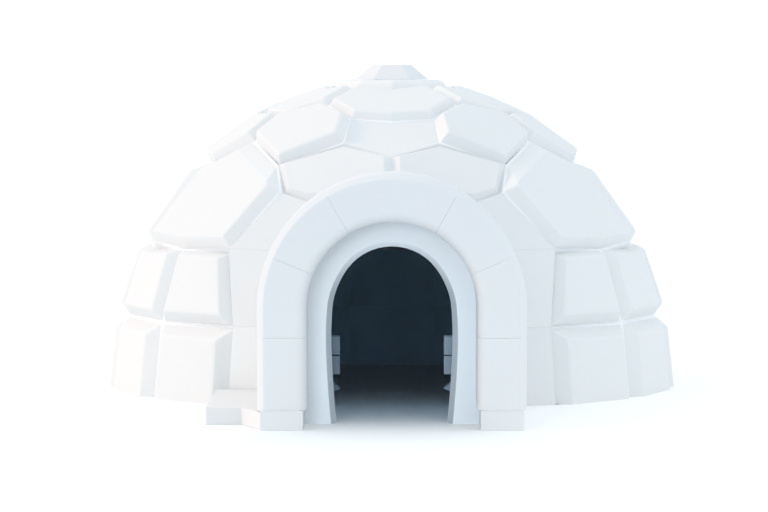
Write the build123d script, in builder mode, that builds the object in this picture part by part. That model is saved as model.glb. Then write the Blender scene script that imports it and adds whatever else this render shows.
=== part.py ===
from build123d import *
import os
from math import cos, degrees, hypot, radians, sin, sqrt

# Igloo of dressed snow blocks with a short vaulted entrance.
# Millimetres, +Z up, the entrance faces -Y, and the ground is Z = 0.
# The origin is on the ground at the middle of the whole building.
# Azimuths are degrees round the dome's own axis: 0 is the entrance, 90 is +X, 180 is the back.

# ---------------------------------------------------------------- driving sizes
# Dome
dome_radius = 2200  # to the faces of the lowest blocks
dome_rise = 2420  # height that the curve of the faces reaches on the axis
wall_thickness = 250  # snow behind the joints
block_relief = 100  # how far a raised block stands out of the joints round it
block_draft = 90  # how far each side of a raised block slopes inwards, in the lowest course
course_2_draft = 60
slab_draft = 50
slab_top_draft = 130  # the big slabs slope back further along their top
ring_draft = 30  # upper ring and top blocks
top_relief = 72
lintel_relief = 45  # the two slabs above the entrance stand out less
lintel_draft = 40
joint_half = 12  # flat strip from a joint to the foot of the sloped side

# Joints of the dome: heights of their corners, and how many blocks go round
course_blocks = 16
course_1_top = 550
course_2_top = 1090
lintel_bottom = 1500
lintel_corner = 1462  # their lower edge dips where it meets the arch
slab_count = 10
lintel_top = 1785  # where the two lintels meet under the recessed block
slab_top_low = 1705
slab_top_high = 1880
slab_top_side = 1715  # at azimuths 90 and 270
ring_top_low = 2050
ring_top_high = 2135
crown_joint = 2262
slab_foot_azimuth = 39  # the first big slab each side: foot, waist and the slab's other corners
slab_waist_azimuth = 29.6
lintel_corner_azimuth = 22
ring_foot_azimuth = 16.5  # lower corner of the recessed block above the lintels
ring_side_azimuth = 57  # joint between the upper ring's second and third blocks each side

# Crown
collar_relief = 84
collar_draft = 45
cap_sides = 6
cap_radius = 285
cap_rise = 112
cap_draft = 118

# Entrance: the arch ring stands in front, with a recessed frame inside it
entrance_reach = 3640  # from the dome's axis to the front of the arch
arch_spring = 827  # height of the centre of the arcs
arch_outer = 912
arch_inner = 578
arch_depth = 620
arch_chamfer = 41
arch_round = 60
keystone_half_angle = 30  # from the vertical
haunch_angle = 67  # from the vertical, to the joint below the haunch
shoulder_bottom = 625
foot_height = 134
foot_overhang = 20
foot_setin = 24  # from the arch's inner outline to the foot's inner side
frame_recess = 470  # from the front of the arch to the frame
frame_opening = 424
frame_spring = 798  # the opening's arc has its centre a little lower than the other arcs
frame_splay = 36  # sloped inner edge of the frame
frame_lean = 40  # how far the opening comes in at the ground

# Passage behind the arch
passage_inner = 470
passage_outer = 815
passage_relief = 45  # raised faces of its blocks
passage_edge = 1  # upright foot of a raised face, below its slope
passage_joint_half = 14
passage_crown_angle = 36  # from the vertical, to the joint below the crown block
passage_front_row = 640  # length of its front row of blocks
pad_setback = 110  # from the raised faces of its back row to the dome's joints

# Low footing on the left of the entrance only
footing_height = 118
footing_width = 389  # from the arch's foot to its outer side
footing_shoulder = 143  # from the arch's foot to its inner front corner
footing_setback = 400  # from the front of the arch
footing_start = 60  # where its slanting side leaves the arch's foot

# Small blocks on each side of the passage, just behind the frame
jamb_face = 362  # from the middle of the entrance to their inner faces
jamb_block_height = 128
jamb_block_bottom = 324
jamb_block_joint = 8
jamb_block_depth = 120
jamb_setback = 60  # behind the arch
corbel_bottom = 165
corbel_peak = 215
corbel_top = 298

fit_gap = 0.3  # left between curved faces that meet
room_cones = 6  # the room's curve, where it trims the passage, is made of this many cones
edge_tolerance = 1  # for choosing edges by where they are

# ---------------------------------------------------------------- worked-out sizes
joint_radius = dome_radius - block_relief
joint_rise = dome_rise - block_relief
room_radius = joint_radius - wall_thickness
room_rise = joint_rise - wall_thickness
foot_side = arch_outer - arch_chamfer + foot_overhang
cut_inner = arch_inner / 2  # shapes that cut the ring into stones reach well past both its sides
cut_outer = 2 * arch_outer


def wall_point(azimuth, height):
    """Corner of a joint: a point of the half ellipsoid that holds the joints."""
    radius = joint_radius * sqrt(1 - (height / joint_rise) ** 2)
    return Vector(radius * sin(radians(azimuth)), -radius * cos(radians(azimuth)), height)


def around(corners):
    """Corners (azimuth, height) of the right half, repeated on the left and past the entrance."""
    circle = {(a % 360, z) for a, z in corners} | {(-a % 360, z) for a, z in corners}
    return sorted((a + turn, z) for a, z in circle for turn in (-360, 0, 360))


def cells_between(dividers, lower, upper):
    """Outlines of the blocks of one ring, anticlockwise from outside.

    Each divider is a list of corners from the lower joint up to the upper one.
    """
    cells = []
    for first, last in zip(dividers, dividers[1:]):
        foot = [c for c in lower if first[0][0] <= c[0] <= last[0][0]]
        head = [c for c in upper if first[-1][0] <= c[0] <= last[-1][0]]
        cells.append(foot + last[1:-1] + head[::-1] + first[-2:0:-1])
    return cells


def upright(azimuths, low, high, heads=()):
    """Dividers from one joint to the next, straight up unless the azimuths of their heads are given."""
    return [[(a, dict(low)[a]), (b, dict(high)[b])] for a, b in zip(azimuths, heads or azimuths)]


def inset(outline, amounts):
    """Flat outline moved inwards, each side by its own amount."""
    lines = []
    for (x0, y0), (x1, y1), amount in zip(outline, outline[1:] + outline[:1], amounts):
        length = hypot(x1 - x0, y1 - y0)
        nx, ny = (y0 - y1) / length, (x1 - x0) / length
        lines.append((nx, ny, nx * x0 + ny * y0 + amount))
    corners = []
    for (a, b, c), (d, e, f) in zip(lines[-1:] + lines[:-1], lines):
        turn = a * e - b * d
        corners.append(((c * e - b * f) / turn, (a * f - c * d) / turn))
    return corners


def facet(cell):
    """Flat outer face of a block: its plane's normal and distance, and its outline there."""
    points = [wall_point(a, z) for a, z in cell]
    normal = Vector(0, 0, 0)
    for here, after in zip(points, points[1:] + points[:1]):
        normal += here.cross(after)
    normal = normal.normalized()
    corner_distance = sum(p.dot(normal) for p in points) / len(points)
    reach = sqrt((joint_radius * hypot(normal.X, normal.Y)) ** 2 + (joint_rise * normal.Z) ** 2)
    distance = (corner_distance + reach) / 2
    plane = Plane(origin=normal * distance, z_dir=normal)
    outline = [plane.to_local_coords(p * (distance / p.dot(normal))) for p in points]
    return normal, distance, [(p.X, p.Y) for p in outline]


def frustum(normal, low, low_outline, high, high_outline):
    """Solid between two outlines with as many corners, each at its distance along the normal."""
    low_plane = Plane(origin=normal * low, z_dir=normal)
    high_plane = Plane(origin=normal * high, z_dir=normal)
    bottom = [low_plane.from_local_coords((x, y, 0)) + dome_centre for x, y in low_outline]
    top = [high_plane.from_local_coords((x, y, 0)) + dome_centre for x, y in high_outline]
    sides = [[bottom[i - 1], bottom[i], top[i], top[i - 1]] for i in range(len(top))]
    return Solid(Shell([Face(Wire.make_polygon(polygon)) for polygon in [bottom, top] + sides]))


def own_corners(outline, reach):
    """Indices of corners, without the nearly straight ones that are within reach of a sharper one."""
    count = len(outline)
    points = [Vector(x, y) for x, y in outline]
    bends = [(points[i] - points[i - 1]).get_angle(points[(i + 1) % count] - points[i])
             for i in range(count)]
    kept = []
    for i in range(count):
        near = [j for j in (i - 1, (i + 1) % count) if (points[i] - points[j]).length < reach]
        if all(bends[j] <= bends[i] for j in near):
            kept.append(i)
    return kept


def raised_outlines(cell, relief, draft, top_draft=None):
    """Foot and head of a block's raised part; a side on the ground stays on the ground.

    Sides at or above the big slabs' upper joint may slope by a draft of their own.
    """
    normal, distance, outline = facet(cell)
    kept = own_corners(outline, joint_half + draft)
    heights = [cell[i][1] for i in kept]
    highest = [max(ends) for ends in zip(heights, heights[1:] + heights[:1])]
    lowest = [min(ends) for ends in zip(heights, heights[1:] + heights[:1])]
    foot = inset([outline[i] for i in kept], [joint_half if high else 0 for high in highest])
    spread = 0 if all(highest) else -relief * normal.Z / hypot(normal.X, normal.Y)
    slopes = [top_draft if top_draft and low >= slab_top_low else draft for low in lowest]
    head = inset(foot, [slope if high else spread for slope, high in zip(slopes, highest)])
    return foot, head


def add_snow_block(cell, relief, *drafts):
    """Wedge of wall with its sides towards the dome's centre, and a raised part if it has one."""
    normal, distance, outline = facet(cell)
    inside = distance - wall_thickness
    shrink = inside / distance
    add(frustum(normal, inside, [(x * shrink, y * shrink) for x, y in outline], distance, outline))
    if relief:
        foot, head = raised_outlines(cell, relief, *drafts)
        add(frustum(normal, distance, foot, distance + relief, head))


def raised_reach(cell, relief, draft):
    """How far a block's raised face comes towards +Y."""
    normal, distance, outline = facet(cell)
    plane = Plane(origin=normal * (distance + relief), z_dir=normal)
    head = raised_outlines(cell, relief, draft)[1]
    return max(plane.from_local_coords((x, y, 0)).Y for x, y in head)


def wall_front(x, height):
    """Distance from the dome's axis to its joints, straight ahead at x and height."""
    radius = joint_radius * sqrt(1 - (height / joint_rise) ** 2)
    return sqrt(radius**2 - x**2)


def arch_face(radius, spring=arch_spring, lean=0.0):
    """Half circle on two legs that come in by lean at the ground."""
    with BuildSketch() as face:
        with BuildLine():
            top = ThreePointArc((-radius, spring), (0, spring + radius), (radius, spring))
            if lean:
                bend = (spring**2 + lean**2) / (2 * lean)
                RadiusArc(top @ 1, (radius - lean, 0), bend)
                RadiusArc(top @ 0, (lean - radius, 0), -bend)
            else:
                Line(top @ 1, (radius, 0))
                Line(top @ 0, (-radius, 0))
            Line((lean - radius, 0), (radius - lean, 0))
        make_face()
    return face.sketch


def sector(inner, outer, start, end):
    """Piece of a ring round the arcs' centre; angles from the vertical, clockwise from the front."""
    def at(radius, angle):
        return radius * sin(radians(angle)), arch_spring + radius * cos(radians(angle))

    middle = (start + end) / 2
    with BuildSketch() as face:
        with BuildLine():
            ThreePointArc(at(outer, start), at(outer, middle), at(outer, end))
            Line(at(outer, end), at(inner, end))
            ThreePointArc(at(inner, end), at(inner, middle), at(inner, start))
            Line(at(inner, start), at(outer, start))
        make_face()
    return face.sketch


def finish_piece(piece, name):
    """Name a finished piece and write it."""
    piece.part.label = name
    export_step(piece.part, f"parts/{name}.step")
    return piece.part


# ---------------------------------------------------------------- joints of the dome
course_pitch = 360 / course_blocks
slab_pitch = 360 / slab_count
course_marks = [course_pitch * (i + 1.5) for i in range(course_blocks - 2)]
slab_marks = [slab_pitch * i for i in range(slab_count + 1)]
ring_right = [slab_pitch / 2, ring_side_azimuth, 90, 180 - ring_side_azimuth, 180 - slab_pitch / 2]
ring_marks = ring_right + [360 - a for a in ring_right[::-1]]
ring_feet = [ring_foot_azimuth] + ring_marks[1:-1] + [360 - ring_foot_azimuth]
top_marks = [slab_pitch * (2 * i + 1) for i in range(slab_count // 2)]
slab_feet = [slab_foot_azimuth] + slab_marks[2:-2] + [360 - slab_foot_azimuth]

ground = around([(a, 0) for a in course_marks + [0]])
joint_1 = around([(a, course_1_top) for a in course_marks + [0]])
joint_2 = around([(a, course_2_top) for a in course_marks[1:-1] + slab_feet + [0]])
lintel_joint = around([(0, lintel_bottom), (lintel_corner_azimuth, lintel_corner),
                       (slab_waist_azimuth, lintel_bottom)])
slab_joint = around([(0, lintel_top), (90, slab_top_side)]
                    + [(a, slab_top_low) for a in slab_marks[1:-1]]
                    + [(a, slab_top_high) for a in ring_feet if a not in (90, 270)])
ring_joint = around([(a, ring_top_low) for a in [0] + ring_marks]
                    + [(a, ring_top_high) for a in top_marks])
crown_edge = around([(a, crown_joint) for a in slab_marks])

course_1 = cells_between(upright(course_marks, ground, joint_1), ground, joint_1)
course_2_heads = slab_feet[:1] + course_marks[1:-1] + slab_feet[-1:]
course_2_sides = upright(course_marks, joint_1, joint_2, course_2_heads)
course_2 = cells_between(course_2_sides, joint_1, joint_2)
panels_1 = cells_between(upright([0, course_marks[0]], ground, joint_1), ground, joint_1)
panels_1 += cells_between(upright([course_marks[-1], 360], ground, joint_1), ground, joint_1)
panels_2 = cells_between(upright([0], joint_1, joint_2) + course_2_sides[:1], joint_1, joint_2)
panels_2 += cells_between(course_2_sides[-1:] + upright([360], joint_1, joint_2), joint_1, joint_2)

right_side = [(slab_foot_azimuth, course_2_top), (slab_waist_azimuth, lintel_bottom),
              (slab_pitch, slab_top_low)]
left_side = [(360 - a, z) for a, z in right_side]
slab_sides = [right_side] + upright(slab_marks[2:-2], joint_2, slab_joint) + [left_side]
slabs = cells_between(slab_sides, joint_2, slab_joint)
spandrels = cells_between([upright([0], joint_2, lintel_joint)[0], right_side[:2]],
                          joint_2, lintel_joint)
spandrels += cells_between([left_side[:2], upright([360], joint_2, lintel_joint)[0]],
                           joint_2, lintel_joint)
lintels = cells_between([upright([0], lintel_joint, slab_joint)[0], right_side[1:]],
                        lintel_joint, slab_joint)
lintels += cells_between([left_side[1:], upright([360], lintel_joint, slab_joint)[0]],
                         lintel_joint, slab_joint)
ring_sides = upright(ring_feet + [ring_feet[0] + 360], slab_joint, ring_joint,
                     ring_marks + [ring_marks[0] + 360])
ring_blocks = cells_between(ring_sides, slab_joint, ring_joint)
top_blocks = cells_between(upright(top_marks + [top_marks[0] + 360], ring_joint, crown_edge),
                           ring_joint, crown_edge)
crown_cell = [c for c in crown_edge if 0 <= c[0] < 360]

# The building's middle is the origin, so the dome's axis stands behind it
dome_centre = Vector(0, 0, 0)
back_reach = max(raised_reach(cell, block_relief, block_draft) for cell in course_1)
dome_centre = Vector(0, (entrance_reach - back_reach) / 2, 0)
front_plane = Plane.XZ.offset(entrance_reach - dome_centre.Y)
passage_front = Plane.XZ.offset(entrance_reach - dome_centre.Y - arch_depth)

os.makedirs("parts", exist_ok=True)

# ---------------------------------------------------------------- cutting solids, not exported
# Space taken by the passage where it goes through the dome's wall
with BuildPart() as passage_space:
    with BuildSketch(front_plane):
        add(arch_face(passage_outer + fit_gap))
    extrude(amount=room_radius / 2 - entrance_reach)

# The room inside the dome, as a stack of cones
with BuildPart() as room:
    with BuildSketch(Plane.XZ.offset(-dome_centre.Y)):
        with BuildLine():
            curve = [(room_radius * cos(radians(90 * i / room_cones)),
                      room_rise * sin(radians(90 * i / room_cones))) for i in range(room_cones + 1)]
            Polyline((0, 0), *curve, close=True)
        make_face()
    revolve(axis=Axis((0, dome_centre.Y, 0), (0, 0, 1)))

# ---------------------------------------------------------------- dome wall
wall_groups = {
    "course_1_blocks_odd": (course_1[::2], block_relief, block_draft),
    "course_1_blocks_even": (course_1[1::2], block_relief, block_draft),
    "course_2_blocks_odd": (course_2[::2], block_relief, course_2_draft),
    "course_2_blocks_even": (course_2[1::2], block_relief, course_2_draft),
    "big_slabs_odd": (slabs[::2], block_relief, slab_draft, slab_top_draft),
    "big_slabs_even": (slabs[1::2], block_relief, slab_draft, slab_top_draft),
    "upper_ring_blocks_odd": (ring_blocks[:-1:2], block_relief, ring_draft),
    "upper_ring_blocks_even": (ring_blocks[1:-1:2], block_relief, ring_draft),
    "top_front_block": (top_blocks[-1:], top_relief, ring_draft),
    "top_blocks_sides": (top_blocks[0:-1:3], top_relief, ring_draft),
    "top_block_back_left": (top_blocks[2:3], top_relief, ring_draft),
    "top_block_back_right": (top_blocks[1:2], top_relief, ring_draft),
    "crown_block": ([crown_cell], collar_relief, collar_draft),
}
pieces = {}
for name, (cells, *cut) in wall_groups.items():
    with BuildPart() as blocks:
        for cell in cells:
            add_snow_block(cell, *cut)
    pieces[name] = finish_piece(blocks, name)

entrance_groups = {
    "entrance_panels_low": (panels_1, 0, 0),
    "entrance_panels_high": (panels_2, 0, 0),
    "spandrel_right": (spandrels[:1], 0, 0),
    "spandrel_left": (spandrels[1:], 0, 0),
    "lintel_right": (lintels[:1], lintel_relief, lintel_draft),
    "lintel_left": (lintels[1:], lintel_relief, lintel_draft),
    "front_recessed_block": (ring_blocks[-1:], 0, 0),
}
for name, (cells, *cut) in entrance_groups.items():
    with BuildPart() as blocks:
        for cell in cells:
            add_snow_block(cell, *cut)
        add(passage_space.part, mode=Mode.SUBTRACT)
    pieces[name] = finish_piece(blocks, name)

# Cap stone on the crown: a low pyramid with its top cut off
crown_normal, crown_distance = facet(crown_cell)[:2]
cap_foot = crown_distance + collar_relief
cap_azimuths = [radians(360 * i / cap_sides) for i in range(cap_sides)]
cap_outline = [(cap_radius * cos(a), cap_radius * sin(a)) for a in cap_azimuths]
cap_head = inset(cap_outline, [cap_draft] * cap_sides)
with BuildPart() as crown_cap:
    add(frustum(crown_normal, cap_foot, cap_outline, cap_foot + cap_rise, cap_head))
finish_piece(crown_cap, "crown_cap")

# ---------------------------------------------------------------- arch ring
# Whole ring, cut into its stones below
with BuildPart() as arch_ring:
    with BuildSketch(front_plane):
        add(arch_face(arch_outer))
        add(arch_face(arch_inner), mode=Mode.SUBTRACT)
    extrude(amount=-arch_depth)
    front_edges = arch_ring.faces().sort_by(Axis.Y)[0].edges()
    raised_edges = front_edges.filter_by(lambda e: e.center().Z > edge_tolerance)
    between = (arch_outer + arch_inner) / 2
    rim = raised_edges.filter_by(lambda e: max(abs(e.center().X), e.center().Z - arch_spring) > between)
    chamfer(rim, arch_chamfer)
    mouth = raised_edges.filter_by(lambda e: max(abs(e.center().X), e.center().Z - arch_spring) < between)
    fillet(mouth, arch_round)

stones = {
    "arch_keystone": (-keystone_half_angle, keystone_half_angle),
    "arch_haunch_right": (keystone_half_angle, haunch_angle),
    "arch_haunch_left": (-haunch_angle, -keystone_half_angle),
}
for name, (start, end) in stones.items():
    with BuildPart() as stone:
        add(arch_ring.part)
        with BuildSketch(front_plane):
            add(sector(cut_inner, cut_outer, start, end))
        extrude(amount=-arch_depth, mode=Mode.INTERSECT)
    finish_piece(stone, name)

for side, word in ((1, "right"), (-1, "left")):
    with BuildPart() as shoulder:
        add(arch_ring.part)
        with BuildSketch(front_plane):
            with Locations((side * cut_outer / 2, shoulder_bottom + cut_outer / 2)):
                Rectangle(cut_outer, cut_outer)
            add(sector(cut_inner, cut_outer, -haunch_angle, haunch_angle), mode=Mode.SUBTRACT)
        extrude(amount=-arch_depth, mode=Mode.INTERSECT)
    finish_piece(shoulder, f"arch_shoulder_{word}")
    with BuildPart() as leg:
        add(arch_ring.part)
        with BuildSketch(front_plane):
            with Locations((side * cut_outer / 2, (shoulder_bottom + foot_height) / 2)):
                Rectangle(cut_outer, shoulder_bottom - foot_height)
        extrude(amount=-arch_depth, mode=Mode.INTERSECT)
    finish_piece(leg, f"arch_leg_{word}")
    with BuildPart() as foot:
        with BuildSketch(front_plane):
            inner = arch_inner + foot_setin
            with Locations((side * (inner + foot_side) / 2, foot_height / 2)):
                Rectangle(foot_side - inner, foot_height)
        extrude(amount=-arch_depth)
    finish_piece(foot, f"arch_foot_{word}")

# ---------------------------------------------------------------- frame inside the arch
with BuildPart() as frame:
    with BuildSketch(front_plane.offset(-frame_recess)):
        add(arch_face(arch_inner - fit_gap))
        add(arch_face(frame_opening, frame_spring, frame_lean), mode=Mode.SUBTRACT)
    extrude(amount=frame_recess - arch_depth)
    front_edges = frame.faces().sort_by(Axis.Y)[0].edges()
    raised_edges = front_edges.filter_by(lambda e: e.center().Z > edge_tolerance)
    between = (arch_inner + frame_opening) / 2
    mouth = raised_edges.filter_by(lambda e: max(abs(e.center().X), e.center().Z - arch_spring) < between)
    chamfer(mouth, frame_splay)
    # Each jamb is a little wider between the arch's feet
    with BuildSketch(front_plane.offset(-frame_recess)):
        for side in (-1, 1):
            with Locations((side * (arch_inner - fit_gap + foot_setin / 2), foot_height / 2)):
                Rectangle(foot_setin, foot_height)
    extrude(amount=frame_recess - arch_depth)

with BuildPart() as frame_crown:
    add(frame.part)
    with BuildSketch(front_plane):
        with Locations((0, frame_spring + cut_outer / 2)):
            Rectangle(cut_outer, cut_outer)
    extrude(amount=-arch_depth, mode=Mode.INTERSECT)
finish_piece(frame_crown, "frame_crown")

for side, word in ((1, "right"), (-1, "left")):
    with BuildPart() as jamb:
        add(frame.part)
        with BuildSketch(front_plane):
            with Locations((side * cut_outer / 2, frame_spring / 2)):
                Rectangle(cut_outer, frame_spring)
        extrude(amount=-arch_depth, mode=Mode.INTERSECT)
    finish_piece(jamb, f"frame_jamb_{word}")

# ---------------------------------------------------------------- passage
def passage_section(part_name, inner, outer, trim):
    """Faces of one part of the passage's section, with its joints trimmed back by trim.

    The walls end at the spring of the arcs, with a haunch each side above them and then the crown.
    """
    with BuildSketch() as section:
        for side in (-1, 1):
            if part_name == "walls":
                with Locations((side * (inner + outer) / 2, (arch_spring - trim) / 2)):
                    Rectangle(outer - inner, arch_spring - trim)
            if part_name == "haunches":
                turn = degrees(trim / outer)
                add(sector(inner, outer, *sorted((side * (passage_crown_angle + turn), side * (90 - turn)))))
        if part_name == "crown":
            turn = degrees(trim / outer)
            add(sector(inner, outer, turn - passage_crown_angle, passage_crown_angle - turn))
    return section.sketch


def on_raised_rim(edge):
    """True for an edge of a raised face of the passage, apart from those on the ground."""
    middle = edge @ 0.5
    across = abs(middle.X) if middle.Z <= arch_spring else hypot(middle.X, middle.Z - arch_spring)
    on_face = abs(across - passage_outer - passage_relief) < edge_tolerance
    return on_face and middle.Z > edge_tolerance


lowest_corner = {
    "walls": (passage_outer, 0),
    "haunches": (passage_outer, arch_spring),
    "crown": (passage_outer * sin(radians(passage_crown_angle)),
              arch_spring + passage_outer * cos(radians(passage_crown_angle))),
}
passage_length = entrance_reach - arch_depth
for part_name, corner in lowest_corner.items():
    rows = {
        "front": (0, passage_front_row, passage_front_row),
        "back": (passage_front_row, passage_length, passage_length - wall_front(*corner) - pad_setback),
    }
    for row, (start, end, pad_end) in rows.items():
        with BuildPart() as passage:
            with BuildSketch(passage_front.offset(-start)):
                add(passage_section(part_name, passage_inner, passage_outer, 0))
            extrude(amount=start - end)
            with BuildSketch(passage_front.offset(-start - passage_joint_half)):
                add(passage_section(part_name, (passage_inner + passage_outer) / 2,
                                    passage_outer + passage_relief, passage_joint_half))
            extrude(amount=start + 2 * passage_joint_half - pad_end)
            chamfer(passage.edges().filter_by(on_raised_rim), passage_relief - passage_edge)
            if row == "back":
                add(room.part, mode=Mode.SUBTRACT)
        pieces[f"passage_{part_name}_{row}"] = finish_piece(passage, f"passage_{part_name}_{row}")

# ---------------------------------------------------------------- footing and small blocks
wall_side = passage_outer + passage_relief + fit_gap
arch_front = dome_centre.Y - entrance_reach
arch_back = arch_front + arch_depth
footing_front = arch_front + footing_setback
footing_back = dome_centre.Y - room_radius
footing_side = foot_side + footing_width
with BuildPart() as footing:
    with BuildSketch(Plane.XY):
        with BuildLine():
            Polyline(
                (-foot_side, arch_front + footing_start), (-foot_side - footing_shoulder, footing_front),
                (-footing_side, footing_front), (-footing_side, footing_back),
                (-wall_side, footing_back), (-wall_side, arch_back), (-foot_side, arch_back), close=True,
            )
        make_face()
    extrude(amount=footing_height)
    for neighbour in ("course_1_blocks_odd", "course_1_blocks_even", "entrance_panels_low"):
        add(pieces[neighbour], mode=Mode.SUBTRACT)
finish_piece(footing, "footing_left")

jamb_plane = passage_front.offset(-jamb_setback)
for side, word in ((1, "right"), (-1, "left")):
    with BuildPart() as jamb_blocks:
        with BuildSketch(jamb_plane):
            for i in range(2):
                bottom = jamb_block_bottom + i * (jamb_block_height + jamb_block_joint)
                with Locations((side * (jamb_face + passage_inner) / 2, bottom + jamb_block_height / 2)):
                    Rectangle(passage_inner - jamb_face, jamb_block_height)
        extrude(amount=-jamb_block_depth)
    finish_piece(jamb_blocks, f"jamb_blocks_{word}")
    with BuildPart() as corbel:
        with BuildSketch(jamb_plane.offset(-jamb_block_depth)):
            with BuildLine():
                Polyline((side * passage_inner, corbel_bottom), (side * jamb_face, corbel_peak),
                         (side * passage_inner, corbel_top), close=True)
            make_face()
        extrude(amount=-jamb_block_depth)
    finish_piece(corbel, f"jamb_corbel_{word}")
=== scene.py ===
from math import pi, radians

import bmesh
import bpy
import numpy as np
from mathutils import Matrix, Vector


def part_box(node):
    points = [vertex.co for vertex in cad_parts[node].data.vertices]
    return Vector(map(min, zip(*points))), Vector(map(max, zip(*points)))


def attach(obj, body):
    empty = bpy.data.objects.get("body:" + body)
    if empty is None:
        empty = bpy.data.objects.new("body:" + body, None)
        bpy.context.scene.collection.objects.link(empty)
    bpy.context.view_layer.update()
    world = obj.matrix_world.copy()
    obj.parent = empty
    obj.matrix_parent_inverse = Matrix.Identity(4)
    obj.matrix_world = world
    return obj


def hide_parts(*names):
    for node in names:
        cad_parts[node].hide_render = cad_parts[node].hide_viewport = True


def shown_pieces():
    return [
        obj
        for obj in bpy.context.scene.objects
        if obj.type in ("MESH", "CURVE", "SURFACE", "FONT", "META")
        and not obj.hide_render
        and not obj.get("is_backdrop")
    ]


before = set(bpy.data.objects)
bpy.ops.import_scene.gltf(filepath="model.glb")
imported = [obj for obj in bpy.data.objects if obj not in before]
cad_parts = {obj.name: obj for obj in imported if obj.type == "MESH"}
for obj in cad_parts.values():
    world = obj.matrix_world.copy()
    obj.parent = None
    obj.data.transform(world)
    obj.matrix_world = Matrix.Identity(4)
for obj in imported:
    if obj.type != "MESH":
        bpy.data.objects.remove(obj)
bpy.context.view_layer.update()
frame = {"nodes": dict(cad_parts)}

bl_info = {
    "name": "Snow Block Igloo",
    "version": (1, 0, 0),
    "blender": (4, 5, 0),
    "location": "3D View > Sidebar > Igloo",
    "description": "Carved snow blocks, arch, door frame and passage of an igloo, and a studio",
    "category": "Object",
}

MM = 0.001
RAISED_NODES = (
    "course_1_blocks_odd", "course_1_blocks_even", "course_2_blocks_odd", "course_2_blocks_even",
    "big_slabs_odd", "big_slabs_even", "upper_ring_blocks_odd", "upper_ring_blocks_even",
    "top_front_block", "top_blocks_sides", "top_block_back_left", "top_block_back_right",
    "crown_block",
)
FLUSH_NODES = (
    "crown_cap", "lintel_right", "lintel_left", "front_recessed_block",
    "entrance_panels_low", "entrance_panels_high", "spandrel_right", "spandrel_left",
)
PASSAGE_NODES = (
    "passage_walls_front", "passage_walls_back", "passage_haunches_front",
    "passage_haunches_back", "passage_crown_front", "passage_crown_back",
)
JAMB_NODES = ("jamb_blocks_left", "jamb_blocks_right", "jamb_corbel_left", "jamb_corbel_right")

SAME_PLACE = 0.1 * MM  # points closer than this in height or depth are level
NEAR = 1 * MM  # points closer than this are one corner
SAME_WAY = 1 - 1e-6  # cosine of the angle between directions that are one

# a raised block
SIDE_SAMPLES = 16  # points on each side of its outline
EDGE_LEVELS = 7  # outlines over its soft edge
FACE_SHARES = (0.985, 0.94, 0.85, 0.7, 0.52, 0.34, 0.17)  # outlines on its face, for the rim's 1
JOINT_LIGHT_TOP = 0.04  # how far up the sloped side the joint's painted light reaches
FOOT_ROUNDING = 0.15  # rounding of a corner at the foot, as a share of that at the rim
FACE, ICE, CUT, JOINT_LIGHT = range(4)  # its finishes; the cut sides and the joints wear painted light

# the arch and the door frame
DIAGONAL = 0.7  # across, for one along a 45-degree slant
SLANT_INSET = 0.6  # how much less the chamfer cuts off for one of inset
MOUTH_STRETCH = 1.35  # how deep the mouth's rounding is for its reach across the face
RING_STEP = 30 * MM  # between two outlines of an arch stone
ARC_RINGS, LEG_RINGS = 97, 24  # of the door frame, over its arc and down each leg
SAG_MIDDLE, SAG_WIDTH = 490 * MM, 240 * MM  # along the opening, from its crown
SPLAY_STRIPS = (10, 11, 12, 13, 14)  # of the door frame's section, from its outer back corner

# where the two faint lights come from, turned from the entrance's side, and how high
FILL_AZIMUTH, FILL_ELEVATION = radians(-8), radians(6)
SIDE_AZIMUTH = radians(-60)

# angles between two faces
MERGED = radians(1)  # a softened block's faces that differ by less are one
BEVELLED = radians(25)  # its edges sharper than this are softened
CREASED = radians(60)  # what is still sharper than this stays a crease
FOLDED = radians(32)  # on the other pieces, edges sharper than this stay creases

ICE_IOR = 1.31
SNOW_SHINE = 0.3  # specular level: open grains throw back less than clear ice
MIX_A, MIX_B, MIXED = 6, 7, 2  # a colour mix's two colours and its result


def linear(code):
    """sRGB hex colour as linear red, green and blue."""
    shares = np.array([int(code[i:i + 2], 16) for i in (0, 2, 4)]) / 255
    return tuple(np.where(shares <= 0.04045, shares / 12.92, ((shares + 0.055) / 1.055) ** 2.4))


# ---- settings
def length_setting(name, description, default, longest):
    """Setting that holds a length in metres."""
    return bpy.props.FloatProperty(name=name, description=description, default=default,
                                   min=0, max=longest, unit="LENGTH")


def angle_setting(name, description, default):
    """Setting that holds an angle in radians."""
    return bpy.props.FloatProperty(name=name, description=description, default=default,
                                   subtype="ANGLE")


def strength_setting(name, description, default):
    """Setting that holds the strength of a light."""
    return bpy.props.FloatProperty(name=name, description=description, default=default,
                                   min=0, max=10)


def colour_setting(name, description, code):
    """Setting that holds a colour; its default is an sRGB hex code."""
    return bpy.props.FloatVectorProperty(name=name, description=description, size=3,
                                         default=linear(code), min=0, max=1, subtype="COLOR")


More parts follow.
